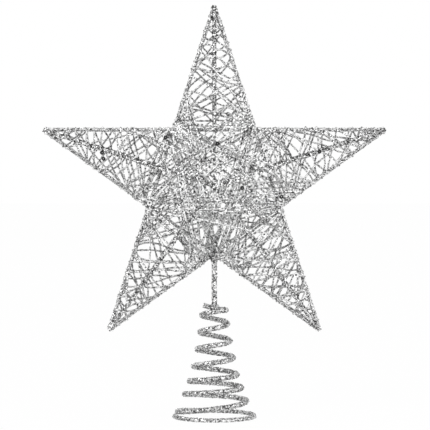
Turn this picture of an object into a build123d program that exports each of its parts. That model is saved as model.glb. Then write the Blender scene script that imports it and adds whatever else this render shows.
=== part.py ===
"""Tree topper: a star of welded wire, wound with glitter thread, that stands on a conical coil.

The coil slips over the leading shoot of the tree. Millimetres, +Z up, the star faces -Y, and the
origin is the middle of the coil's foot, on the surface that it stands on.
"""

import os
from math import cos, dist, pi, sin, sqrt, tan

from build123d import *

os.makedirs("parts", exist_ok=True)

# Star frame
arm_count = 5
star_reach = 107.0  # star centre to the mitred wire ends at a tip
star_rise = 21.0  # mid plane to the ridge wires' line at the middle of the star
star_wire = 2.1  # wires that run straight from tip to tip
ridge_wire = 1.8  # wires that run from a tip to the middle, front and back
weld_touch = 0.1  # room between two wires that a weld joins
hub_weld = 5.0  # diameter of the weld button under the five ridge ends
hub_weld_depth = 1.4
tip_weld = 5.0  # length of the weld slug between the four wires of a tip
tip_weld_inset = 5.5  # wire ends to the slug

# Stem
stem_wire = 2.9
stem_length = 32.5  # coil's top bar to the crossing of the two lowest star wires
stem_weld_wall = 0.9  # weld metal round the stem's top
stem_weld_length = 3.0
sleeve_wall = 0.6  # weld metal round the bar at the stem's foot
sleeve_length = 4.4
sleeve_room = 0.3  # room between the sleeve, the bar inside it and the stem on it

# Coil
coil_wire = 2.8
foot_radius = 23.7  # middle of the wire in the flat foot turn
closing_radius = 22.0  # where the foot turn closes over its own cut end
second_radius = 19.3  # half a turn up from there
top_radius = 7.4  # middle of the wire in the smallest turn
coil_half_turns = 12  # from the foot turn to the smallest turn
lower_half_turns = 4  # of those, the ones wound closer, above the first
narrowing_power = 1.5  # above 1, the coil narrows fastest near its foot
closing_climb = 2.8  # climb of the foot turn's last quarter, up to its close
foot_climb = 6.6  # climb of the half turn above it
lower_pitch = 7.8  # climb of each turn of those wound closer
coil_pitch = 10.2  # climb of each turn above them
foot_flat = 0.5  # depth of the flat under the foot turn
bar_right = 3.3  # axis to the end of the bar's bend
bar_left = 6.7  # axis to the bar's cut end
bar_climb = 0.9  # climb of the bend that leads into the bar
bar_slope = 2.4  # cut end above the end of the bend

# Windings
thread = 0.75  # side of the thread's square section
thread_touch = 0.2  # room between the thread and the wires that carry it
layer_gap = 0.9  # room between the two layers of a winding
arm_loops = 13
arm_wind_base = 8.5  # star wire across the arm's base to the first loop, along the star wires
arm_wind_tip = 8.0  # last loop to the wire ends
ridge_wind_base = 22.0  # star centre to the first loop, along the ridge wires
lean_share = 0.08  # how far a loop's ridge ends lead or lag, of the wound length of a ridge
sway_share = 0.16  # uneven spacing of the loops, of their pitch
centre_loops = 8
centre_rim = 3.5  # first loop of the arms to the outermost loop round the hub
centre_heart = 3.0  # hub weld to the innermost loop
drift_share = 0.08  # how far a layer's loops sit off centre, of their radius

# Proportions that follow from a five pointed star
half_sector = pi / arm_count
half_point = pi / 2 - 2 * half_sector
tip_side = weld_touch / 2
line_offset = star_reach * sin(half_point) + tip_side * cos(half_point)
half_line = star_reach * cos(half_point) - tip_side * sin(half_point)
half_base = line_offset * tan(half_sector)
valley_radius = line_offset / cos(half_sector)
crossing_lift = (star_wire + weld_touch) / 2
ridge_tip_rise = sqrt(((star_wire + ridge_wire) / 2 + weld_touch) ** 2 - tip_side**2)
ridge_start = (weld_touch + ridge_wire * cos(half_sector)) / 2 / sin(half_sector)

# Heights
foot_middle = coil_wire / 2 - foot_flat
lower_climb = lower_pitch * lower_half_turns / 2
upper_half_turns = coil_half_turns - lower_half_turns - 1 / 2
upper_climb = coil_pitch * upper_half_turns / 2
smallest_turn_height = foot_middle + closing_climb + foot_climb + lower_climb + upper_climb
bar_right_height = smallest_turn_height + bar_climb
bar_height = bar_right_height + bar_slope * bar_right / (bar_right + bar_left)
valley_height = bar_height + stem_length
star_height = valley_height + valley_radius
bar_way = Vector(-bar_right - bar_left, 0, bar_slope).normalized()
bar_middle = Vector(0, 0, bar_height)


def arm_point(arm, side, depth, out):
    """A point by its place on an arm: to the arm's right, behind the mid plane, out from the star centre."""
    turn = pi / 2 + 2 * half_sector * arm
    across = side * sin(turn) + out * cos(turn)
    up = out * sin(turn) - side * cos(turn)
    return Vector(across, depth, star_height + up)


def arm_half_width(out):
    """Middle of the arm to the middle of either star wire beside it."""
    return tip_side + (star_reach - out) * tan(half_point)


def ridge_rise(out):
    """Mid plane to the middle of a ridge wire."""
    return star_rise + (ridge_tip_rise - star_rise) * out / star_reach


def round_wire(points, diameter):
    """A round wire bent at its points and cut square at both ends."""
    with BuildPart() as wire:
        with BuildLine():
            route = Polyline(*points)
        with BuildSketch(Plane(origin=route @ 0, z_dir=route % 0)):
            Circle(diameter / 2)
        sweep(transition=Transition.RIGHT)
    return wire.part


def finish(part, name):
    """Names a piece and writes it."""
    part.label = name
    export_step(part, f"parts/{name}.step")


def least_gap(points, thickness):
    """The least room between stretches of one tube, measured on points along its middle."""
    apart = 8 * thickness
    step = thickness
    along = []
    for start, end in zip(points, points[1:]):
        count = max(1, round((end - start).length / step))
        along += [tuple(start + (end - start) * (i / count)) for i in range(count)]
    skip = round(apart / step)
    nearest = min(
        dist(here, there)
        for i, here in enumerate(along)
        for there in along[i + skip :]
    )
    return nearest - thickness


# Star wires: each crosses the base of one arm, over one neighbour and under the other, with mitred ends
def star_wire_points(arm):
    stations = ((-half_line, 0), (-half_base, -crossing_lift), (half_base, crossing_lift), (half_line, 0))
    return [arm_point(arm, side, depth, line_offset) for side, depth in stations]


def mitre_plane(arm, side):
    """The middle of an arm, less half the room for the weld, facing the wire on one side of it."""
    seat = arm_point(arm, side * tip_side, 0, star_reach)
    return Plane(origin=seat, z_dir=seat - arm_point(arm, 0, 0, star_reach))


for arm in range(arm_count):
    straight = round_wire(star_wire_points(arm), star_wire)
    with BuildPart() as mitred:
        add(straight)
        split(bisect_by=mitre_plane(arm - 1, -1))
        split(bisect_by=mitre_plane(arm + 1, 1))
    finish(mitred.part, f"star_wire_{arm + 1}")


# Ridge wires: from the groove between two star wires at a tip up to the middle, on both sides
def ridge_points(arm, face):
    return [arm_point(arm, 0, face * ridge_rise(out), out) for out in (star_reach, ridge_start)]


faces = {"front": -1, "back": 1}
for face_name, face in faces.items():
    for arm in range(arm_count):
        finish(round_wire(ridge_points(arm, face), ridge_wire), f"{face_name}_ridge_{arm + 1}")

# Welds: a button under the five ridge ends, and a slug of metal between the four wires of each tip
for face_name, face in faces.items():
    seat = ridge_rise(hub_weld / 2) - ridge_wire / 2 - weld_touch
    with BuildPart() as hub:
        with BuildSketch(Plane(origin=(0, face * seat, star_height), z_dir=(0, -face, 0))):
            Circle(hub_weld / 2)
        extrude(amount=hub_weld_depth)
    finish(hub.part, f"{face_name}_hub_weld")

tip_weld_out = star_reach - tip_weld_inset
half_side = arm_half_width(tip_weld_out) - star_wire / 2 / cos(half_point) - weld_touch
half_depth = ridge_rise(tip_weld_out) - ridge_wire / 2 - weld_touch
with BuildPart() as tip_slugs:
    for arm in range(arm_count):
        slug_start = arm_point(arm, 0, 0, tip_weld_out)
        across = arm_point(arm, half_side, 0, tip_weld_out) - slug_start
        inward = arm_point(arm, 0, 0, 0) - slug_start
        with BuildSketch(Plane(origin=slug_start, x_dir=across, z_dir=inward)):
            Polygon((half_side, 0), (0, half_depth), (-half_side, 0), (0, -half_depth))
        extrude(amount=tip_weld)
finish(tip_slugs.part, "tip_welds")

# Stem: its top ends under the crossing of the two lowest star wires, its foot sits on the sleeve
stem_drop = (star_wire / 2 + stem_wire / 2 * sin(half_sector) + weld_touch) / cos(half_sector)
stem_top = valley_height - stem_drop
sleeve_bore = coil_wire + 2 * sleeve_room
sleeve_outside = sleeve_bore + 2 * sleeve_wall
bar_plane = Plane(origin=bar_middle, x_dir=(0, 1, 0), z_dir=bar_way)

with BuildPart() as stem:
    with BuildSketch(Plane.XY.offset(bar_height)):
        Circle(stem_wire / 2)
    extrude(amount=stem_top - bar_height)
    with BuildSketch(bar_plane):
        Circle(sleeve_outside / 2 + sleeve_room)
    extrude(amount=stem_wire, both=True, mode=Mode.SUBTRACT)
finish(stem.part, "stem")

with BuildPart() as stem_fillet:
    with BuildSketch(Plane.XZ):
        inner = stem_wire / 2 + weld_touch
        outer = inner + stem_weld_wall
        shoulder = stem_top - (outer - stem_wire / 2) * tan(half_sector)
        Polygon((inner, shoulder), (outer, shoulder), (inner, shoulder - stem_weld_length), align=None)
    revolve(axis=Axis.Z)
finish(stem_fillet.part, "stem_top_weld")

with BuildPart() as sleeve:
    with BuildSketch(bar_plane):
        Circle(sleeve_outside / 2)
        Circle(sleeve_bore / 2, mode=Mode.SUBTRACT)
    extrude(amount=sleeve_length / 2, both=True)
finish(sleeve.part, "stem_foot_weld")


# Coil: one wire, from the cut end of its flat foot turn up to the bar across its smallest turn
foot_quarters = 4
last_quarter = 2 * coil_half_turns + 1


def coil_station(quarter):
    """A point of the coil's middle line, in quarter turns up from the left of the foot turn."""
    angle = pi + quarter * pi / 2
    left_share = min(1, (last_quarter - quarter) / (last_quarter - 2))
    close_share = min(1, max(0, 1 + quarter))
    first_share = min(1, max(0, quarter / 2))
    radius = top_radius + (second_radius - top_radius) * left_share**narrowing_power
    radius += (foot_radius - closing_radius) * (1 - close_share)
    radius += (closing_radius - second_radius) * (1 - first_share)
    above_first = max(0, quarter / 2 - 1)
    climb = closing_climb * close_share + foot_climb * first_share
    climb += lower_pitch / 2 * min(lower_half_turns, above_first)
    climb += coil_pitch / 2 * max(0, above_first - lower_half_turns)
    return Vector(radius * cos(angle), radius * sin(angle), foot_middle + climb)


def coil_way(quarter):
    """The direction of the coil's middle line at a station."""
    nearby_share = 1 / 4
    return (coil_station(quarter + nearby_share) - coil_station(quarter - nearby_share)).normalized()


def biarc(start, start_way, end, end_way):
    """Two arcs that share a tangent where they meet."""
    chord = end - start
    spread = 2 * (1 - start_way.dot(end_way))
    along = chord.dot(start_way + end_way)
    reach = (sqrt(along**2 + spread * chord.dot(chord)) - along) / spread
    middle = (start + end + (start_way - end_way) * reach) * (1 / 2)
    first = TangentArc(start, middle, tangent=start_way)
    TangentArc(middle, end, tangent=first % 1)


quarters = range(-foot_quarters, last_quarter + 1)
turns = [(coil_station(quarter), coil_way(quarter)) for quarter in quarters[:-1]]
top_way = Vector(2 * pi * top_radius, 0, coil_pitch).normalized()
turns += [(coil_station(last_quarter), top_way)]
bend_start = coil_station(last_quarter) + top_way * bar_right
bend_end = bar_middle - bar_way * (bar_right / -bar_way.X)
bend_middle = Vector(bar_right + top_radius / 2, -top_radius / 2, (bend_start.Z + bend_end.Z) / 2)
bend_way = Vector(0, 1, 0)
bar_end = bar_middle + bar_way * (bar_left / -bar_way.X)

with BuildPart() as coil:
    with BuildLine() as coil_line:
        for (start, start_way), (end, end_way) in zip(turns, turns[1:]):
            biarc(start, start_way, end, end_way)
        Line(coil_station(last_quarter), bend_start)
        biarc(bend_start, top_way, bend_middle, bend_way)
        biarc(bend_middle, bend_way, bend_end, bar_way)
        Line(bend_end, bar_end)
    with BuildSketch(Plane(origin=turns[0][0], x_dir=(0, 0, 1), z_dir=turns[0][1])):
        RegularPolygon(coil_wire / 2, side_count=6)
    sweep()
    split(bisect_by=Plane.XY)
finish(coil.part, "coil_spring")

coil_samples = 40 * len(turns)
coil_points = [coil_line.line @ (i / coil_samples) for i in range(coil_samples + 1)]
print("coil_spring least gap to itself", round(least_gap(coil_points, coil_wire), 2))

# Windings: tight thread of square section, straight from wire to wire, in two layers that cross
thread_reach = thread / sqrt(2)
layer_step = 2 * thread_reach + layer_gap


def wound_thread(points):
    """A thread drawn straight from point to point, mitred where it turns."""
    with BuildPart() as winding:
        with BuildLine():
            route = Polyline(*points)
        with BuildSketch(Plane(origin=route @ 0, z_dir=route % 0)):
            Rectangle(thread, thread)
        sweep(transition=Transition.RIGHT)
    return winding.part


def arm_winding_points(arm):
    """The corners of an arm's thread: round its four wires, out to the tip, and back on top."""
    half_way = 2 * arm_loops
    tip = star_reach - arm_wind_tip
    base = line_offset + arm_wind_base

    def visit(i):
        """The wire that the thread passes: its place across the arm, the thread's room, its place along."""
        layer = min(1, max(0, (i - half_way) / 4 + 1 / 2))
        done_share = 1 - abs(1 - i / half_way) + sway_share / arm_loops * sin(2 * i + arm)
        lead_share = 4 * lean_share * done_share * (1 - done_share) * (1 - 2 * layer)
        room = thread_touch + thread_reach + layer_step * layer
        wire = i % 4
        if wire in (0, 2):
            side = 1 - wire
            out = base + (tip - base) * done_share
            lift = crossing_lift * (star_reach - out) / (star_reach - line_offset)
            return Vector(side * arm_half_width(out), -side * lift, 0), room + star_wire / 2, out
        face = wire - 2
        out = ridge_wind_base + (tip - ridge_wind_base) * (done_share - face * lead_share)
        return Vector(0, face * ridge_rise(out), 0), room + ridge_wire / 2, out

    visits = [visit(i) for i in range(-1, 4 * arm_loops + 2)]
    points = []
    for (before, _, _), (wire, room, out), (after, _, _) in zip(visits, visits[1:], visits[2:]):
        facing = (wire - before).rotate(Axis.Z, 90).normalized()
        leaving = (after - wire).rotate(Axis.Z, 90).normalized()
        middle = (facing + leaving).normalized()
        for near in (facing, leaving):
            corner = wire + (near + middle) * (room / (1 + near.dot(middle)))
            points.append(arm_point(arm, corner.X, corner.Y, out))
    return points


def centre_winding_points(face):
    """The corners of a centre thread: round over the five ridges, in to the hub, and out on top."""
    half_way = arm_count * centre_loops / 2
    rim = ridge_wind_base - centre_rim
    heart = hub_weld / 2 + centre_heart
    points = []
    for i in range(arm_count * centre_loops + 1):
        radius = rim + (heart - rim) * (1 - abs(1 - i / half_way))
        layer = min(1, max(0, (i - half_way) / arm_count + 1 / 2))
        drift = drift_share * radius * cos(2 * half_sector * i) * (1 - 2 * layer)
        out = radius + drift
        room = ridge_wire / 2 + thread_touch + thread_reach + layer_step * layer
        points.append(arm_point(i, 0, face * (ridge_rise(out) + room), out))
    return points


for arm in range(arm_count):
    arm_thread = arm_winding_points(arm)
    finish(wound_thread(arm_thread), f"arm_winding_{arm + 1}")
    print(f"arm_winding_{arm + 1} least gap to itself", round(least_gap(arm_thread, 2 * thread_reach), 2))

for face_name, face in faces.items():
    centre_thread = centre_winding_points(face)
    finish(wound_thread(centre_thread), f"{face_name}_centre_winding")
    gap = round(least_gap(centre_thread, 2 * thread_reach), 2)
    print(f"{face_name}_centre_winding least gap to itself", gap)
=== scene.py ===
from math import cos, pi, sin, tan

import bpy
import numpy as np
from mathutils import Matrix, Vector


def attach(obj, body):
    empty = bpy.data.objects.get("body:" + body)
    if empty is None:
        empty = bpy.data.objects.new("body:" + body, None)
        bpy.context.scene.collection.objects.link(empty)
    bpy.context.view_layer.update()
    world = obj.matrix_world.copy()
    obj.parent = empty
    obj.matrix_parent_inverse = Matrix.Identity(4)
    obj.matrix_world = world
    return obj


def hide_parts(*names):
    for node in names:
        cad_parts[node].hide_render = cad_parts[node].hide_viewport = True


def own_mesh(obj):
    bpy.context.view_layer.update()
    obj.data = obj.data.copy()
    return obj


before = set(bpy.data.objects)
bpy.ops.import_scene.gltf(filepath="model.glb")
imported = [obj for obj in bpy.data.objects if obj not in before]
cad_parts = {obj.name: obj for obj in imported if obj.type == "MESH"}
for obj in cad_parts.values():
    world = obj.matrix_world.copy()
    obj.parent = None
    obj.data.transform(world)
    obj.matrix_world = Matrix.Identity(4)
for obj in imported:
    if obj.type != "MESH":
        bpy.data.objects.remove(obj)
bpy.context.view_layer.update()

# Star wires: five straight steel wires, each from tip to tip across the base of one arm, over one
# neighbour and under the other. They are welded where they meet, dipped in clear glue and rolled
# in silver glitter, so small flakes cover them and stand off at all angles.
arm_count = 5
star_reach = 0.107
star_height = 0.13927
half_sector = pi / arm_count
half_point = pi / 10
arm_turns = pi / 2 + 2 * half_sector * np.arange(arm_count)
tip_side = 0.00005
crossing_lift = 0.0011
star_wire_radius = 0.00105
line_offset = star_reach * sin(half_point) + tip_side * cos(half_point)
half_line = star_reach * cos(half_point) - tip_side * sin(half_point)
half_base = line_offset * tan(half_sector)


class Tone:
    """A shader value. Sums and products of it add Math nodes, and add() adds any other node."""

    def __init__(self, tree, socket=None):
        self.tree = tree
        self.socket = socket

    def add(self, kind, settings, sockets, output=0):
        node = self.tree.nodes.new(kind)
        for name, value in settings.items():
            if name == "stops":
                ramp = node.color_ramp.elements
                while len(ramp) < len(value):
                    ramp.new(0.5)
                for stop, (place, grey) in zip(ramp, value):
                    stop.position = place
                    stop.color = (grey, grey, grey, 1)
            else:
                setattr(node, name, value)
        for name, value in sockets.items():
            if isinstance(value, Tone):
                self.tree.links.new(value.socket, node.inputs[name])
            else:
                node.inputs[name].default_value = value
        return Tone(self.tree, node.outputs[output] if len(node.outputs) else None)

    def maths(self, operation, first, second):
        return self.add("ShaderNodeMath", {"operation": operation}, {0: first, 1: second})

    def __add__(self, other):
        return self.maths("ADD", self, other)

    __radd__ = __add__

    def __sub__(self, other):
        return self.maths("SUBTRACT", self, other)

    def __rsub__(self, other):
        return self.maths("SUBTRACT", other, self)

    def __mul__(self, other):
        return self.maths("MULTIPLY", self, other)

    __rmul__ = __mul__


def bare_finish(name):
    """A material with no nodes yet, and the value that adds them."""
    finish = bpy.data.materials.new(name)
    finish.use_nodes = True
    finish.node_tree.nodes.clear()
    return finish, Tone(finish.node_tree)


metal_share = 0.85
glue_width = 0.09
bed_polish = 0.18
bed_polish_spread = 0.32
flake_dull = 0.4
flake_polish = 0.22


def glitter_bed(name, cells_per_metre, greys, seam):
    """Fine glitter set in glue: each cell is a flake with its own grey, polish and tilt."""
    finish, start = bare_finish(name)
    half = (0.5, 0.5, 0.5)
    place = start.add("ShaderNodeTexCoord", {}, {}, "Object")
    cells = {"Vector": place, "Scale": cells_per_metre}
    cell = start.add("ShaderNodeTexVoronoi", {}, cells, "Color")
    edge = start.add("ShaderNodeTexVoronoi", {"feature": "DISTANCE_TO_EDGE"}, cells, "Distance")
    chance = start.add("ShaderNodeSeparateColor", {}, {"Color": cell}, "Red")
    polish = start.add("ShaderNodeSeparateColor", {}, {"Color": cell}, "Green")
    grey = start.add("ShaderNodeValToRGB", {"stops": greys}, {"Fac": chance}, "Color")
    glue = start.add(
        "ShaderNodeMapRange",
        {},
        {"Value": edge, "From Max": glue_width, "To Min": seam, "To Max": 1.0},
    )
    shade = start.add("ShaderNodeVectorMath", {"operation": "SCALE"}, {0: grey, "Scale": glue})
    lean = start.add("ShaderNodeVectorMath", {"operation": "SUBTRACT"}, {0: cell, 1: half})
    face = start.add("ShaderNodeNewGeometry", {}, {}, "Normal")
    tilt = start.add("ShaderNodeVectorMath", {"operation": "MULTIPLY_ADD"}, {0: lean, 1: half, 2: face})
    normal = start.add("ShaderNodeVectorMath", {"operation": "NORMALIZE"}, {0: tilt})
    roughness = bed_polish + bed_polish_spread * polish
    surface = start.add(
        "ShaderNodeBsdfPrincipled",
        {},
        {"Base Color": shade, "Metallic": metal_share, "Roughness": roughness, "Normal": normal},
    )
    start.add("ShaderNodeOutputMaterial", {}, {"Surface": surface})
    return finish


def loose_flakes(name, greys):
    """Coarse glitter: each flake has one grey, and the pale ones are the most polished."""
    finish, start = bare_finish(name)
    chance = start.add("ShaderNodeAttribute", {"attribute_name": "flake_tone"}, {}, "Fac")
    grey = start.add("ShaderNodeValToRGB", {"stops": greys}, {"Fac": chance}, "Color")
    roughness = flake_dull - flake_polish * chance
    surface = start.add(
        "ShaderNodeBsdfPrincipled",
        {},
        {"Base Color": grey, "Metallic": metal_share, "Roughness": roughness},
    )
    start.add("ShaderNodeOutputMaterial", {}, {"Surface": surface})
    return finish


wire_cells_per_metre = 1400
star_seam = 0.75
star_greys = ((0.0, 0.03), (0.3, 0.17), (0.5, 0.52), (0.68, 0.95), (1.0, 1.0))
star_flake_greys = ((0.0, 0.015), (0.27, 0.08), (0.46, 0.46), (0.62, 0.95), (1.0, 1.0))
star_bed = glitter_bed("star_bed", wire_cells_per_metre, star_greys, star_seam)
star_flakes = loose_flakes("star_flakes", star_flake_greys)

flake_radius = 0.00042
flake_rise = 0.00010
smallest_flake = 0.7
largest_flake = 1.25
deepest_seat = 0.97
highest_seat = 1.08
bpy.ops.object.select_all(action="DESELECT")
bpy.ops.mesh.primitive_cone_add(
    vertices=4, radius1=flake_radius, depth=flake_rise, end_fill_type="TRIFAN"
)
flake = bpy.context.object
bpy.ops.object.mode_set(mode="EDIT")
bpy.ops.mesh.select_mode(type="VERT")
bpy.ops.mesh.select_all(action="DESELECT")
bpy.ops.object.mode_set(mode="OBJECT")
for corner in flake.data.vertices:
    corner.select = corner.co.z < 0 and corner.co.xy.length < flake_radius / 2
bpy.ops.object.mode_set(mode="EDIT")
bpy.ops.transform.translate(value=(0, 0, -flake_rise))
bpy.ops.object.mode_set(mode="OBJECT")
flake_corners = np.array([corner.co for corner in flake.data.vertices])
flake_faces = np.array([face.vertices for face in flake.data.polygons])
bpy.data.objects.remove(flake)


def on_arm(arm, side, depth, out):
    """Points by their place on an arm: to its right, behind the mid plane, out from the middle."""
    turn = arm_turns[arm]
    across = side * sin(turn) + out * cos(turn)
    up = out * sin(turn) - side * cos(turn)
    return np.stack(np.broadcast_arrays(across, depth, star_height + up), axis=-1)


def unit(ways):
    """The same directions, each with a length of 1."""
    return ways / np.linalg.norm(ways, axis=-1, keepdims=True)


def flakes_round(points, radius, per_metre, luck, size=1.0, tilt=0.35):
    """Corners of the flakes that stick to a wire through the points, each tilted its own way."""
    runs = np.diff(points, axis=0)
    lengths = np.linalg.norm(runs, axis=1)
    count = int(per_metre * lengths.sum())
    run = luck.choice(len(runs), count, p=lengths / lengths.sum())
    middle = points[run] + runs[run] * luck.random((count, 1))
    outward = unit(np.cross(runs[run], luck.normal(size=(count, 3))))
    facing = unit(outward + luck.normal(scale=tilt, size=(count, 3)))
    across = unit(np.cross(facing, luck.normal(size=(count, 3))))
    axes = np.stack((across, np.cross(facing, across), facing), axis=1)
    sized = flake_corners * luck.uniform(smallest_flake * size, largest_flake * size, (count, 1, 1))
    seat = middle + outward * radius * luck.uniform(deepest_seat, highest_seat, (count, 1))
    return (sized @ axes + seat[:, None, :]).reshape(-1, 3)


def piece_of(name, corners, faces, finish):
    """A new piece from its corners and faces."""
    mesh = bpy.data.meshes.new(name)
    mesh.from_pydata(corners.tolist(), [], faces)
    mesh.materials.append(finish)
    piece = bpy.data.objects.new(name, mesh)
    bpy.context.collection.objects.link(piece)
    return piece


def flake_coat(name, corners, finish):
    """A piece made of copies of the flake, each with its own tone."""
    count = len(corners) // len(flake_corners)
    first = np.arange(count)[:, None, None] * len(flake_corners)
    coat = piece_of(name, corners, (flake_faces + first).reshape(-1, 3).tolist(), finish)
    tones = np.random.default_rng(count).random(count)
    tone = coat.data.attributes.new("flake_tone", "FLOAT", "POINT")
    tone.data.foreach_set("value", np.repeat(tones, len(flake_corners)))
    return coat


def wear(node, finish):
    """Puts a finish on a CAD node."""
    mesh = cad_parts[node].data
    mesh.materials.clear()
    mesh.materials.append(finish)


star_flakes_per_metre = 20000
star_flake_size = 0.75
star_flake_tilt = 0.7
for arm in range(arm_count):
    wear(f"star_wire_{arm + 1}", star_bed)
    sides = np.array((-half_line, -half_base, half_base, half_line))
    depths = np.array((0, -crossing_lift, crossing_lift, 0))
    line = on_arm(arm, sides, depths, line_offset)
    luck = np.random.default_rng(arm)
    corners = flakes_round(
        line, star_wire_radius, star_flakes_per_metre, luck, star_flake_size, star_flake_tilt
    )
    coat = flake_coat(f"star_wire_{arm + 1}_glitter", corners, star_flakes)
    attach(coat, "star")

# Ridge wires: ten thinner steel wires, two to each arm, that run from the groove between the star
# wires at a tip up to the middle of the star, in front and behind. They are welded at both ends
# and glittered with the rest. On the top arm and the two upper side arms their flakes are darker,
# as painted shade along the ridge; the two lower arms keep the plain wire flakes.
star_rise = 0.021
ridge_tip_rise = 0.00205
ridge_wire_radius = 0.0009
ridge_coat_radius = ridge_wire_radius + 0.0002
ridge_seed = 20
ridge_flakes_per_metre = 15000
ridge_flake_size = 1.1
# the two lower arms, whose ridge flakes get no painted shade
arms_without_ridge_shade = (2, 3)
wire_seam = 0.7
wire_greys = ((0.0, 0.025), (0.32, 0.18), (0.52, 0.5), (0.72, 0.95), (1.0, 1.0))
wire_flake_greys = ((0.0, 0.012), (0.28, 0.07), (0.48, 0.45), (0.63, 0.95), (1.0, 1.0))
# painted shade: darker greys for the ridge flakes of the top arm and the two upper side arms
shaded_ridge_flake_greys = ((0.0, 0.01), (0.42, 0.05), (0.6, 0.3), (0.74, 0.9), (1.0, 1.0))
wire_bed = glitter_bed("wire_bed", wire_cells_per_metre, wire_greys, wire_seam)
wire_flakes = loose_flakes("wire_flakes", wire_flake_greys)
shaded_ridge_flakes = loose_flakes("shaded_ridge_flakes", shaded_ridge_flake_greys)


def ridge_rise(out):
    """Mid plane to the middle of a ridge wire."""
    return star_rise + (ridge_tip_rise - star_rise) * out / star_reach


for face_name, face in (("front", -1), ("back", 1)):
    for arm in range(arm_count):
        wear(f"{face_name}_ridge_{arm + 1}", wire_bed)
        outs = np.array((star_reach, line_offset))
        line = on_arm(arm, 0 * outs, face * ridge_rise(outs), outs)
        luck = np.random.default_rng(ridge_seed + arm + arm_count * face)
        corners = flakes_round(line, ridge_coat_radius, ridge_flakes_per_metre, luck, ridge_flake_size)
        # painted shade on the ridges of every arm but the two lower ones
        flakes = wire_flakes if arm in arms_without_ridge_shade else shaded_ridge_flakes
        coat = flake_coat(f"{face_name}_ridge_{arm + 1}_glitter", corners, flakes)
        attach(coat, "star")

# Welds: a button of weld metal under the five ridge ends on each side, and a slug between the four
# wires of each tip. Glue fills their hollows, so glitter lies on them as on the wires.
tip_weld_radius = 0.0021
tip_weld_ends = np.array((0.0004, 0.006))
tip_seed = 40
tip_flakes_per_metre = 16000
hub_weld_radius = 0.002
hub_weld_outside = 0.0004
hub_weld_inside = 0.0016
hub_seeds = (46, 47)
hub_flakes_per_metre = 90000
for node in ("front_hub_weld", "back_hub_weld", "tip_welds"):
    wear(node, star_bed)
corners = []
for arm in range(arm_count):
    outs = star_reach - tip_weld_ends
    line = on_arm(arm, 0 * outs, 0 * outs, outs)
    luck = np.random.default_rng(tip_seed + arm)
    corners.append(flakes_round(line, tip_weld_radius, tip_flakes_per_metre, luck))
front_hub = np.array((
    (0, -star_rise - hub_weld_outside, star_height),
    (0, -star_rise + hub_weld_inside, star_height),
))
for hub, seed in zip((front_hub, front_hub * (1, -1, 1)), hub_seeds):
    luck = np.random.default_rng(seed)
    corners.append(flakes_round(hub, hub_weld_radius, hub_flakes_per_metre, luck))
coat = flake_coat("weld_glitter", np.concatenate(corners), star_flakes)
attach(coat, "star")

# Stem: one short steel wire between the coil and the lowest crossing of the star wires. A fillet of
# weld holds its top, and a sleeve of weld holds its foot on the coil's bar.
stem_radius = 0.00145
stem_top = 0.0953
bar_height = 0.06584
stem_foot = bar_height + 0.0024
stem_seed = 50
stem_flakes_per_metre = 16000
stem_flake_size = 1.35
for node in ("stem", "stem_top_weld", "stem_foot_weld"):
    wear(node, wire_bed)
line = np.array(((0, 0, stem_foot), (0, 0, stem_top)))
luck = np.random.default_rng(stem_seed)
corners = flakes_round(line, stem_radius, stem_flakes_per_metre, luck, stem_flake_size)
coat = flake_coat("stem_glitter", corners, wire_flakes)
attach(coat, "star")

sleeve_radius = 0.0023
half_sleeve = 0.0022
sleeve_flakes_per_metre = 26000
bar_way = np.array((-0.97239, 0, 0.23337))
sleeve = np.array((
    (0, 0, bar_height) - bar_way * half_sleeve,
    (0, 0, bar_height) + bar_way * half_sleeve,
))
corners = flakes_round(sleeve, sleeve_radius, sleeve_flakes_per_metre, luck)
coat = flake_coat("stem_foot_glitter", corners, wire_flakes)
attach(coat, "stem_foot")

# Coil: one spring wire wound as a cone, so that it grips the tree's leading shoot. Its widest turn
# is the flat foot that it stands on, and its top end is bent across the smallest turn as the bar
# that carries the stem. It is glittered all round.
coil_radius = 0.00145
foot_radius = 0.0237
closing_radius = 0.0220
second_radius = 0.0193
top_radius = 0.0074
cone_taper = 1.5
foot_middle = 0.0009
foot_cut = 0.0001
closing_climb = 0.0028
foot_climb = 0.0066
lower_pitch = 0.0078
lower_half_turns = 4
coil_pitch = 0.0102
first_quarter = -4
last_quarter = 25
quarter_steps = 14
ease_steps = 9
turn_lean = 0.056
bend_start_height = 0.06486
bend_end_height = 0.06505
bend_steps = 25
bar_right = 0.0033
bar_end = (-0.0067, 0, 0.06745)
bar_steps = 12
thinnest_coat = 0.94
thickest_coat = 1.08
coil_seed = 60
coil_flakes_per_metre = 22000
coil_flake_size = 0.8
coil_flake_tilt = 1.0
coil_flake_greys = ((0.0, 0.02), (0.25, 0.11), (0.44, 0.52), (0.6, 0.95), (1.0, 1.0))
coil_flakes = loose_flakes("coil_flakes", coil_flake_greys)


def drawn_wire(name, points, radius, swell):
    """A closed tube along the points, with its thickness at each."""
    bpy.ops.object.select_all(action="DESELECT")
    bpy.ops.curve.primitive_nurbs_path_add(location=(0, 0, 0))
    wire = bpy.context.object
    wire.name = name
    wire.data.splines.clear()
    line = wire.data.splines.new("POLY")
    line.points.add(len(points) - 1)
    line.points.foreach_set("co", np.column_stack((points, np.ones(len(points)))).ravel())
    line.points.foreach_set("radius", swell)
    wire.data.bevel_depth = radius
    wire.data.bevel_resolution = 1
    wire.data.use_fill_caps = True
    bpy.ops.object.convert(target="MESH")
    bpy.ops.object.shade_smooth()
    wire.data.materials.clear()
    return wire


def with_flakes(wire, bed, corners, flakes):
    """Joins a coat of flakes to the wire under it."""
    wire.data.materials.append(bed)
    coat = flake_coat(f"{wire.name}_glitter", corners, flakes)
    bpy.ops.object.select_all(action="DESELECT")
    coat.select_set(True)
    wire.select_set(True)
    bpy.context.view_layer.objects.active = wire
    bpy.ops.object.join()


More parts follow.
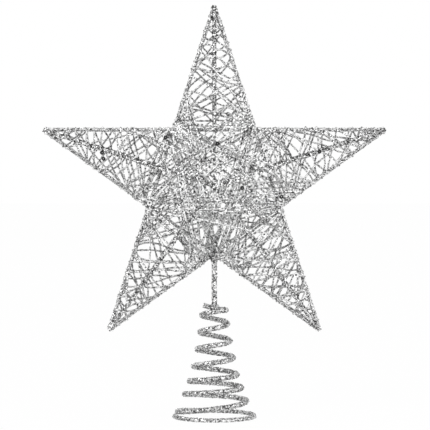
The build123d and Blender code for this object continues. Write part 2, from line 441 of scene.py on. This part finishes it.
quarters = np.linspace(first_quarter, last_quarter, (last_quarter - first_quarter) * quarter_steps + 1)
angles = pi + quarters * pi / 2
left_share = np.minimum(1, (last_quarter - quarters) / (last_quarter - 2))
close_share = np.clip(1 + quarters, 0, 1)
first_share = np.clip(quarters / 2, 0, 1)
foot_flare = (foot_radius - closing_radius) * (1 - close_share)
first_flare = (closing_radius - second_radius) * (1 - first_share)
radii = top_radius + (second_radius - top_radius) * left_share**cone_taper
radii += foot_flare + first_flare
above_first = np.maximum(0, quarters / 2 - 1)
lower_climb = lower_pitch / 2 * np.minimum(lower_half_turns, above_first)
upper_climb = coil_pitch / 2 * np.maximum(0, above_first - lower_half_turns)
heights = foot_middle + closing_climb * close_share + foot_climb * first_share
heights += lower_climb + upper_climb
ease = np.ones(ease_steps) / ease_steps
eased = slice(ease_steps // 2, -(ease_steps // 2))
radii[eased] = np.convolve(radii, ease, mode="valid")
heights[eased] = np.convolve(heights, ease, mode="valid")
lean_share = np.clip(np.minimum(quarters, last_quarter - quarters) / 2, 0, 1)
heights -= turn_lean * radii * np.sin(angles) * lean_share
cone = np.column_stack((radii * np.cos(angles), radii * np.sin(angles), heights))
bends = np.linspace(0, pi, bend_steps)
bend = np.column_stack((
    bar_right + top_radius / 2 * np.sin(bends),
    -top_radius / 2 * (1 + np.cos(bends)),
    np.linspace(bend_start_height, bend_end_height, bend_steps),
))
bar = np.linspace((bar_right, 0, bend_end_height), bar_end, bar_steps)
coil_line = np.concatenate((cone, bend, bar[1:]))
luck = np.random.default_rng(coil_seed)
coil_swell = luck.uniform(thinnest_coat, thickest_coat, len(coil_line))
coil = drawn_wire("coil", coil_line, coil_radius, coil_swell)
bpy.ops.object.mode_set(mode="EDIT")
bpy.ops.mesh.select_all(action="SELECT")
bpy.ops.mesh.bisect(plane_co=(0, 0, foot_cut), plane_no=(0, 0, 1), use_fill=True, clear_inner=True)
bpy.ops.object.mode_set(mode="OBJECT")
corners = flakes_round(
    coil_line, coil_radius, coil_flakes_per_metre, luck, coil_flake_size, coil_flake_tilt
)
corners[:, 2] = np.maximum(corners[:, 2], foot_cut)
with_flakes(coil, wire_bed, corners, coil_flakes)
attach(coil, "coil_base")
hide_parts("coil_spring")
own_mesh(coil)

# Arm windings: on each arm, one long thread furred with glitter is wound by hand round the four
# wires, up to the tip and back several times. It lies nearly straight from wire to wire but crosses
# its own turns at every angle, and glue sets it.
thread_radius = 0.0005
thinnest_thread = 0.75
thickest_thread = 1.3
thread_step = 0.0013
thread_spacing = 0.0028
arm_wraps = (32, 36, 37, 46, 38)
arm_base = line_offset + 0.003
arm_tip = star_reach - 0.006
ridge_end = 0.012
arm_seed = 70
guide_points = 24
wrap_choices = 20
least_lean = 0.5
most_lean = 2.4
wrap_shares = np.linspace(0.03, 0.97, 16)
wrap_angle = 75
wrap_points = 7
wrap_heap = 0.00015
arm_heap = 0.0012
ridge_slip = 0.0006
bow_size = 0.0008
slack_share = 0.2
slack_bow = 2
arm_waves = 0.00015
wave_blur = np.array((1, 2, 3, 4, 5, 4, 3, 2, 1)) / 9
thread_cells_per_metre = 1300
thread_seam = 0.85
thread_flakes_per_metre = 3000
thread_flake_size = 0.85
thread_greys = ((0.0, 0.05), (0.22, 0.2), (0.45, 0.5), (0.68, 0.9), (1.0, 1.0))
thread_flake_greys = ((0.0, 0.02), (0.22, 0.12), (0.4, 0.45), (0.6, 0.9), (1.0, 1.0))
thread_bed = glitter_bed("thread_bed", thread_cells_per_metre, thread_greys, thread_seam)
thread_flakes = loose_flakes("thread_flakes", thread_flake_greys)


def arm_half_width(out):
    """Middle of the arm to the middle of either star wire beside it."""
    return tip_side + (star_reach - out) * tan(half_point)


def wrap(arm, side, out, face, layer):
    """Points of the thread as it goes round a star wire, from one face of the star to the other."""
    lean = np.radians(np.linspace(wrap_angle, -wrap_angle, wrap_points)) * face
    room = star_wire_radius + layer
    beside = side * (arm_half_width(out) + room * np.cos(lean) * cos(half_point))
    lift = crossing_lift * (star_reach - out) / (star_reach - line_offset)
    depth = -side * lift + room * np.sin(lean)
    return on_arm(arm, beside, depth, out + room * np.cos(lean) * sin(half_point))


def span(start, end, bow):
    """Points of the thread from start to end, drawn nearly straight."""
    reach = np.linalg.norm(end - start)
    count = max(3, int(reach / thread_step))
    along = np.linspace(0, 1, count)[1:-1, None]
    sway = unit(np.cross(end - start, (0, 1, 0)))
    return start + (end - start) * along + sway * bow * 4 * along * (1 - along)


def loose(points, much, luck):
    """The points with the small waves of a thread laid by hand."""
    waves = luck.normal(scale=much, size=(len(points) + len(wave_blur) - 1, 3))
    return points + np.column_stack([np.convolve(wave, wave_blur, mode="valid") for wave in waves.T])


def crowding(paths, laid):
    """How near each point of some paths lies to the thread that is laid, seen from the front."""
    across = paths[..., :1] - laid[:, 0]
    along = paths[..., 1:] - laid[:, 1]
    return np.exp(-(across**2 + along**2) / thread_spacing**2) @ laid[:, 2]


def with_path(laid, path):
    """The laid thread and one more path, each point with the length that it stands for."""
    length = np.linalg.norm(path[-1] - path[0]) / len(path)
    return np.concatenate((laid, np.column_stack((path, np.full(len(path), length)))))


thread_lines = []


def wound_thread(name, line, waves, bed, flakes, luck):
    """One thread along the runs of a line, furred with glitter. Its points are kept for the sequins."""
    points = loose(np.concatenate(line), waves, luck)
    thread_lines.append(points)
    swell = luck.uniform(thinnest_thread, thickest_thread, len(points))
    winding = drawn_wire(name, points, thread_radius, swell)
    corners = flakes_round(points, thread_radius, thread_flakes_per_metre, luck, thread_flake_size)
    with_flakes(winding, bed, corners, flakes)
    return winding


arms_laid = []
for arm in range(arm_count):
    luck = np.random.default_rng(arm_seed + arm)
    laid = np.zeros((0, 3))
    outs = np.linspace(arm_base, star_reach, guide_points)
    for side in (-1, 0, 0, 1):
        laid = with_path(laid, on_arm(arm, side * arm_half_width(outs), 0.0, outs)[:, (0, 2)])
    outs = [arm_base]
    for i in range(1, arm_wraps[arm]):
        side = 1 - 2 * (i % 2)
        leans = luck.uniform(least_lean, most_lean, wrap_choices) * luck.choice((-1, 1), wrap_choices)
        nexts = np.clip(outs[-1] + arm_half_width(outs[-1]) * leans, arm_base, arm_tip)
        ends = on_arm(arm, side * arm_half_width(nexts), 0.0, nexts)[:, (0, 2)]
        start = on_arm(arm, -side * arm_half_width(outs[-1]), 0.0, outs[-1])[[0, 2]]
        paths = start + (ends - start)[:, None] * wrap_shares[:, None]
        emptiest = np.argmin(crowding(paths, laid).mean(1))
        laid = with_path(laid, paths[emptiest])
        outs.append(nexts[emptiest])
    arms_laid.append(laid)
    line = []
    for i in range(arm_wraps[arm]):
        side = 1 - 2 * (i % 2)
        face = side
        here = wrap(arm, side, outs[i], face, luck.uniform(0, wrap_heap))
        if i:
            width = arm_half_width(outs[i])
            before_width = arm_half_width(outs[i - 1])
            middle = (outs[i] * before_width + outs[i - 1] * width) / (width + before_width)
            middle = np.clip(middle + luck.normal(scale=ridge_slip), ridge_end, arm_tip)
            room = ridge_wire_radius + thread_radius + luck.uniform(0, arm_heap)
            over = on_arm(arm, 0.0, face * (ridge_rise(middle) + room), middle)
            bows = luck.normal(scale=bow_size, size=2)
            bows = bows * np.where(luck.random(2) < slack_share, slack_bow, 1)
            line += [span(line[-1][-1], over, bows[0]), over[None], span(over, here[0], bows[1])]
        line.append(here)
    winding = wound_thread(f"arm_{arm + 1}_thread", line, arm_waves, thread_bed, thread_flakes, luck)
    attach(winding, "star")
    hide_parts(f"arm_winding_{arm + 1}")

# Centre winding: when the arms are wound, the same thread is drawn across the middle of the star
# from arm to arm, over the ridges in front and behind by turns, until it hides the hub. Its greys are
# lighter than the arm thread's: painted light that cancels the shade the dense middle takes.
centre_spans = 96
core_radius = 0.027
core_gain = 2.5
centre_seed = 90
first_out = 0.05
nearest_out = line_offset + 0.001
out_spread = 0.024
out_crowding = 1.3
outline_room = 0.0003
shortest_span = 0.04
span_choices = 14
span_shares = np.linspace(0.05, 0.95, 20)
centre_heap = 0.0016
centre_waves = 0.00012
# painted light: greys lighter than the arm thread's, to cancel the shade of the dense middle
centre_lightened_greys = ((0.0, 0.03), (0.23, 0.15), (0.37, 0.6), (0.51, 0.95), (1.0, 1.0))
centre_lightened_flake_greys = ((0.0, 0.01), (0.24, 0.06), (0.36, 0.55), (0.5, 0.95), (1.0, 1.0))
# the lighter copy of the thread's finish for the middle of the star, as painted light
centre_lightened_bed = glitter_bed("centre_lightened_bed", thread_cells_per_metre, centre_lightened_greys, thread_seam)
centre_lightened_flakes = loose_flakes("centre_lightened_flakes", centre_lightened_flake_greys)
luck = np.random.default_rng(centre_seed)


def inside_star(points):
    """True where a point lies within the star's outline, seen from the front."""
    across = points[:, 0, None] * np.cos(arm_turns)
    beyond = across + (points[:, 2, None] - star_height) * np.sin(arm_turns)
    return (beyond > line_offset + outline_room).sum(1) <= 1


def over_ridges(start, end, face, room):
    """Points of a span drawn straight from start to end, lifted where it crosses ridge wires."""
    along = np.linspace(0, 1, max(6, int(np.linalg.norm(end - start) / thread_step)))
    line = start + (end - start) * along[:, None]
    rests = [(0.0, face * start[1]), (1.0, face * end[1])]
    for turn in arm_turns:
        sides = [point[0] * sin(turn) - (point[2] - star_height) * cos(turn) for point in (start, end)]
        if sides[0] * sides[1] < 0:
            share = sides[0] / (sides[0] - sides[1])
            cross = start + (end - start) * share
            out = cross[0] * cos(turn) + (cross[2] - star_height) * sin(turn)
            if out > 0:
                rests.append((share, ridge_rise(out) + room))
    rests.sort()
    hull = []
    for rest in rests:
        while len(hull) > 1:
            (early, low), (late, high) = hull[-2:]
            if (high - low) * (rest[0] - early) > (rest[1] - low) * (late - early):
                break
            hull.pop()
        hull.append(rest)
    line[:, 1] = face * np.interp(along, [rest[0] for rest in hull], [rest[1] for rest in hull])
    return line


laid = np.concatenate(arms_laid)
line = [wrap(0, 1, first_out, 1, 0.0)]
for i in range(centre_spans):
    face = 2 * (i % 2) - 1
    start = line[-1][-1]
    there = []
    paths = []
    while len(there) < span_choices:
        out = nearest_out + luck.random() ** out_crowding * out_spread
        arm = int(luck.integers(arm_count))
        side = int(luck.choice((-1, 1)))
        end = wrap(arm, side, out, face, luck.uniform(0, wrap_heap))
        path = start + (end[0] - start) * span_shares[:, None]
        if np.linalg.norm(end[0] - start) > shortest_span and inside_star(path).all():
            there.append(end)
            paths.append(path[:, (0, 2)])
    paths = np.array(paths)
    from_hub = np.hypot(paths[..., 0], paths[..., 1] - star_height)
    wanted = 1 + core_gain * np.exp(-(from_hub / core_radius) ** 2)
    emptiest = np.argmin((crowding(paths, laid) / wanted).mean(1))
    laid = with_path(laid, paths[emptiest])
    there = there[emptiest]
    room = ridge_wire_radius + thread_radius + luck.uniform(0, centre_heap)
    line += [over_ridges(start, there[0], face, room)[1:-1], there]
halves = (("front", line[: centre_spans + 1]), ("back", line[centre_spans:]))
for number, (face_name, half) in enumerate(halves, 1):
    winding = wound_thread(f"centre_thread_{number}", half, centre_waves, centre_lightened_bed, centre_lightened_flakes, luck)
    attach(winding, "star")
    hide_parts(f"{face_name}_centre_winding")

# Sequins: a few small round spangles of stamped film, some silver and some dark, caught in the glue.
# They lie on the thread wherever they fell, in front and behind. A small disc of the dark film
# lies in the hole of each silver one, as painted shade for the hollow of the hole.
sequin_radius = 0.0012
sequin_thickness = 0.0002
sequin_sides = 14
rim_share = 0.8
rim_drop = 0.00012
hole_share = 0.3
cup_drop = 0.00008
cloud_scale = 900.0
cloud_shade = 0.8
cloud_dull = 0.3
film_metal = 0.7
mid_plane_room = 0.002
outward_pull = 0.15
sequin_tilt = 0.15
sequin_turn = (0.3, 0.0, 1.0)
pale_size = 1.25
# size and lift of the dark disc of painted shade in each silver sequin's hole
hole_shade_size = 0.42
hole_shade_lift = 0.0002
bpy.ops.object.select_all(action="DESELECT")
bpy.ops.mesh.primitive_circle_add(vertices=sequin_sides, radius=sequin_radius, fill_type="NOTHING")
sequin = bpy.context.object
bpy.ops.object.mode_set(mode="EDIT")
bpy.ops.mesh.select_all(action="SELECT")
for share, drop in ((rim_share, rim_drop), (hole_share, cup_drop)):
    bpy.ops.mesh.extrude_edges_move()
    bpy.ops.transform.resize(value=(share, share, share))
    bpy.ops.transform.translate(value=(0, 0, -drop))
bpy.ops.mesh.select_all(action="SELECT")
bpy.ops.mesh.normals_make_consistent(inside=False)
bpy.ops.object.mode_set(mode="OBJECT")
wall = sequin.modifiers.new("wall", "SOLIDIFY")
wall.thickness = sequin_thickness
wall.offset = 0
bpy.ops.object.modifier_apply(modifier="wall")
sequin_corners = np.array([corner.co for corner in sequin.data.vertices])
sequin_faces = [tuple(face.vertices) for face in sequin.data.polygons]
bpy.data.objects.remove(sequin)


def sequin_finish(name, grey, dull):
    """Stamped film: a cloudy polish over one grey."""
    finish, start = bare_finish(name)
    place = start.add("ShaderNodeTexCoord", {}, {}, "Object")
    cloud = start.add(
        "ShaderNodeTexNoise", {}, {"Vector": place, "Scale": cloud_scale, "Detail": 2.0}, "Fac"
    )
    shade = start.add(
        "ShaderNodeMapRange", {}, {"Value": cloud, "To Min": grey * cloud_shade, "To Max": grey}
    )
    roughness = dull + cloud_dull * cloud
    surface = start.add(
        "ShaderNodeBsdfPrincipled",
        {},
        {"Base Color": shade, "Metallic": film_metal, "Roughness": roughness},
    )
    start.add("ShaderNodeOutputMaterial", {}, {"Surface": surface})
    return finish


def lay_sequins(name, places, finish, size=1.0, lift=0.0):
    """Sequins on the outermost thread near each place, given by its side, face and height."""
    thread_points = np.concatenate(thread_lines)
    luck = np.random.default_rng(len(places))
    corners = []
    faces = []
    for side, face, height in places:
        here = thread_points[thread_points[:, 1] * face > mid_plane_room]
        gaps = np.hypot(here[:, 0] - side, here[:, 2] - height)
        seat = here[np.argmin(gaps - outward_pull * face * here[:, 1])]
        under = np.hypot(here[:, 0] - seat[0], here[:, 2] - seat[2]) < sequin_radius + thread_radius
        seat = np.array((seat[0], face * np.max(face * here[under, 1]), seat[2]))
        facing = unit(np.array((0.0, face, 0.0)) + luck.normal(scale=sequin_tilt, size=3))
        across = unit(np.cross(facing, sequin_turn))
        axes = np.stack((across, np.cross(facing, across), facing))
        first = len(corners) * len(sequin_corners)
        faces += [tuple(first + corner for corner in ring) for ring in sequin_faces]
        rise = facing * (thread_radius + sequin_thickness + lift)
        corners.append(size * sequin_corners @ axes + seat + rise)
    piece = piece_of(name, np.concatenate(corners), faces, finish)
    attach(piece, "star")


dark_places = [
    (-0.0283, -1, 0.1681), (0.0169, -1, 0.1382), (0.0399, -1, 0.1325), (-0.0627, -1, 0.1594),
    (0.0018, -1, 0.1640), (-0.0648, -1, 0.1553), (0.0628, -1, 0.1592), (0.0305, 1, 0.1490),
    (-0.0210, 1, 0.1270), (0.0080, 1, 0.1820), (-0.0560, 1, 0.1560), (0.0370, 1, 0.1000),
]
pale_places = [
    (0.0020, -1, 0.1317), (-0.0382, -1, 0.1293), (0.0295, -1, 0.1101), (0.0481, -1, 0.0862),
    (-0.0060, 1, 0.1430), (0.0440, 1, 0.1330), (-0.0300, 1, 0.1070), (0.0010, 1, 0.1960),
]
# the dark film serves the dark sequins and the painted shade in the silver ones' holes
dark_film_and_hole_shade = sequin_finish("dark_sequin_and_hole_shade", 0.025, 0.25)
pale_film = sequin_finish("pale_sequin", 1.0, 0.1)
lay_sequins("sequins_dark", dark_places, dark_film_and_hole_shade)
lay_sequins("sequins_pale", pale_places, pale_film, pale_size)
# painted shade: a dark disc in the hole of each silver sequin
lay_sequins("sequin_hole_shade", pale_places, dark_film_and_hole_shade, hole_shade_size, hole_shade_lift)

# Studio: a white floor and a white surround, a soft lamp over the left shoulder of the camera and a
# weaker one to the right. The camera stands straight in front, a little above the middle of the star.
floor_width = 6
floor_height = -0.0002
paper_grey = (0.9, 0.9, 0.9, 1)
paper_dull = 0.9
paper_glow = 0.97
full_white = (1, 1, 1, 1)
surround_light = 0.75
lamps = (((-0.9, -1.3, 1.3), 10), ((1.2, -0.9, 0.7), 5))
lamp_width = 0.8
lamp_aim = (0, 0, 0.13)
camera_place = (0.0004, -1.6, 0.197)
camera_aim = (0.0004, 0, 0.1215)
camera_lens = 224.7
camera_sensor = 36


def in_sight(start):
    """1 for what the camera sees, straight or in metal or glass, and 0 for what lights the star."""
    seen = start.add("ShaderNodeLightPath", {}, {}, "Is Camera Ray")
    mirrored = start.add("ShaderNodeLightPath", {}, {}, "Is Glossy Ray")
    through = start.add("ShaderNodeLightPath", {}, {}, "Is Transmission Ray")
    return seen + mirrored + through


def aim_at(thing, aim):
    """Turns a lamp or the camera towards a point."""
    thing.rotation_euler = (Vector(aim) - thing.location).to_track_quat("-Z", "Y").to_euler()


bpy.ops.object.select_all(action="DESELECT")
bpy.ops.mesh.primitive_plane_add(size=floor_width, location=(0, 0, floor_height))
floor = bpy.context.object
floor.name = "floor"
paper, start = bare_finish("white_paper")
matt = start.add("ShaderNodeBsdfPrincipled", {}, {"Base Color": paper_grey, "Roughness": paper_dull})
white = start.add("ShaderNodeEmission", {}, {"Color": full_white, "Strength": 1.0})
mixed = start.add("ShaderNodeMixShader", {}, {0: in_sight(start) * paper_glow, 1: matt, 2: white})
start.add("ShaderNodeOutputMaterial", {}, {"Surface": mixed})
floor.data.materials.append(paper)

surround = bpy.data.worlds.new("white_surround")
surround.use_nodes = True
surround.node_tree.nodes.clear()
start = Tone(surround.node_tree)
strength = surround_light + (1 - surround_light) * in_sight(start)
glow = start.add("ShaderNodeBackground", {}, {"Color": full_white, "Strength": strength})
start.add("ShaderNodeOutputWorld", {}, {"Surface": glow})
bpy.context.scene.world = surround

for place, power in lamps:
    bpy.ops.object.light_add(type="AREA", location=place)
    lamp = bpy.context.object
    lamp.data.energy = power
    lamp.data.size = lamp_width
    aim_at(lamp, lamp_aim)

bpy.ops.object.camera_add(location=camera_place)
camera = bpy.context.object
camera.data.lens = camera_lens
camera.data.sensor_width = camera_sensor
aim_at(camera, camera_aim)
bpy.context.scene.camera = camera
bpy.context.scene.view_settings.view_transform = "Standard"
